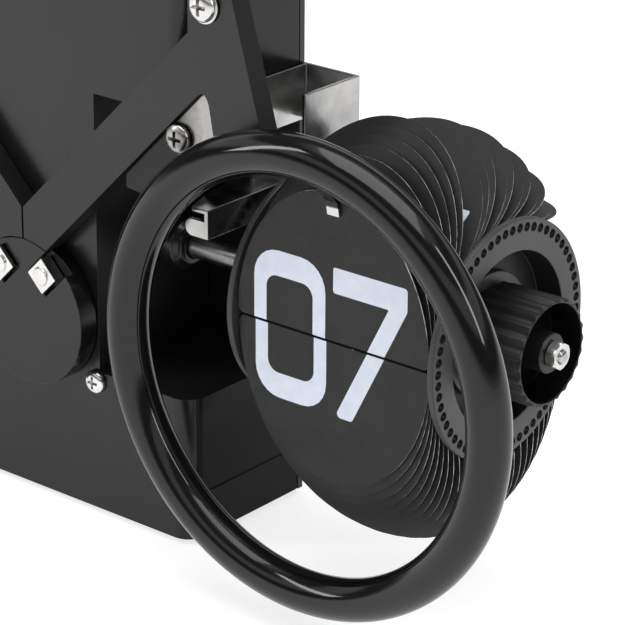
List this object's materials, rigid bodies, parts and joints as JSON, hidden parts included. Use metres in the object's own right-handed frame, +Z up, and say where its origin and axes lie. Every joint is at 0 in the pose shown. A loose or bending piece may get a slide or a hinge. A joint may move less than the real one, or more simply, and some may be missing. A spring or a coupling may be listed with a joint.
{
  "type": "flip number clock",
  "caption": "Upright flip number clock: a slim notched housing with an open leaf wheel, a display ring and a setting knob on each side.",
  "frame": {"origin": "on the surface the feet stand on, under the centre of the clock's box", "axes": "+Z up, -Y is the side that shows the numbers, +X towards the minute wheel"},
  "size_m": [0.3456, 0.0948, 0.1712],
  "materials": {
    "housing_black": "satin black enamel",
    "gloss_black": "polished black",
    "leaf_black": "matt black printed sheet",
    "disc_black": "moulded satin black",
    "knob_black": "ribbed matt black",
    "foot_rubber": "matt",
    "steel": "polished and lightly brushed",
    "brass": "turned",
    "gear_plastic": "natural",
    "motor_case": "plain",
    "battery_jacket": "shrink sleeve"
  },
  "bodies": {
    "root": {"front_housing": "housing_black", "back_cover": "housing_black", "base_tray": "housing_black", "centre_disc": "housing_black", "battery": "battery_jacket", "battery_spring": "steel", "battery_contact": "brass", "idler_arbor": "steel", "motor": "motor_case", "foot_front_left": "foot_rubber", "foot_front_right": "foot_rubber", "foot_back_left": "foot_rubber", "foot_back_right": "foot_rubber", "minute_bearing_boss": "housing_black", "hour_bearing_boss": "housing_black", "minute_bearing_plate": "brass", "hour_bearing_plate": "brass", "minute_bearing_tube": "steel", "hour_bearing_tube": "steel", "minute_clamp_bolt": "steel", "hour_clamp_bolt": "steel", "minute_display_ring": "gloss_black", "hour_display_ring": "gloss_black", "minute_fork_plate": "housing_black", "hour_fork_plate": "housing_black", "minute_fork_screw": "steel", "hour_fork_screw": "steel", "minute_front_screw": "steel", "hour_front_screw": "steel", "minute_leaf_finger": "steel", "hour_leaf_finger": "steel", "minute_leaf_stack": "leaf_black", "hour_leaf_stack": "leaf_black", "minute_ring_plate": "steel", "hour_ring_plate": "steel", "minute_ring_plate_screw": "steel", "hour_ring_plate_screw": "steel", "minute_wheel_bracket": "steel", "hour_wheel_bracket": "steel"},
    "minute_wheel": {"minute_wheel_outer_disc": "disc_black", "minute_wheel_inner_disc": "disc_black", "minute_wheel_hub": "disc_black", "minute_wheel_flange": "disc_black", "minute_setting_knob": "knob_black", "minute_shaft_nut": "steel", "minute_wheel_shaft": "steel", "minute_gear": "gear_plastic"},
    "hour_wheel": {"hour_wheel_outer_disc": "disc_black", "hour_wheel_inner_disc": "disc_black", "hour_wheel_hub": "disc_black", "hour_wheel_flange": "disc_black", "hour_setting_knob": "knob_black", "hour_shaft_nut": "steel", "hour_wheel_shaft": "steel", "hour_gear": "gear_plastic"},
    "idler": {"idler_gear": "gear_plastic"},
    "motor_rotor": {"motor_pinion": "brass"},
    "minute_flip_leaf": {"minute_flip_leaf": "leaf_black"},
    "hour_flip_leaf": {"hour_flip_leaf": "leaf_black"},
    "battery_door": {"battery_door": "housing_black"}
  },
  "joints": [
    {"name": "minute_wheel_spin", "type": "hinge", "parent": "root", "child": "minute_wheel", "pos_m": [0.1103, -0.002, 0.0792], "axis": [1, 0, 0], "continuous": true},
    {"name": "hour_wheel_spin", "type": "hinge", "parent": "root", "child": "hour_wheel", "pos_m": [-0.1103, -0.002, 0.0792], "axis": [1, 0, 0], "continuous": true},
    {"name": "idler_spin", "type": "hinge", "parent": "root", "child": "idler", "pos_m": [0, -0.002, 0.0582], "axis": [1, 0, 0], "continuous": true},
    {"name": "motor_spin", "type": "hinge", "parent": "root", "child": "motor_rotor", "pos_m": [0.0115, -0.002, 0.1002], "axis": [1, 0, 0], "continuous": true},
    {"name": "minute_leaf_flip", "type": "hinge", "parent": "root", "child": "minute_flip_leaf", "pos_m": [0.1103, -0.03225, 0.0792], "axis": [1, 0, 0], "range_deg": [0, 180]},
    {"name": "hour_leaf_flip", "type": "hinge", "parent": "root", "child": "hour_flip_leaf", "pos_m": [-0.1103, -0.03225, 0.0792], "axis": [1, 0, 0], "range_deg": [0, 180]},
    {"name": "battery_door_hinge", "type": "hinge", "parent": "root", "child": "battery_door", "pos_m": [0, 0.0233, 0.0075], "axis": [-1, 0, 0], "range_deg": [0, 90]}
  ],
  "couplings": [
    {"joint": "hour_wheel_spin", "follows": "minute_wheel_spin", "ratio": 0.041667},
    {"joint": "idler_spin", "follows": "minute_wheel_spin", "ratio": -0.16667},
    {"joint": "motor_spin", "follows": "minute_wheel_spin", "ratio": -6}
  ]
}
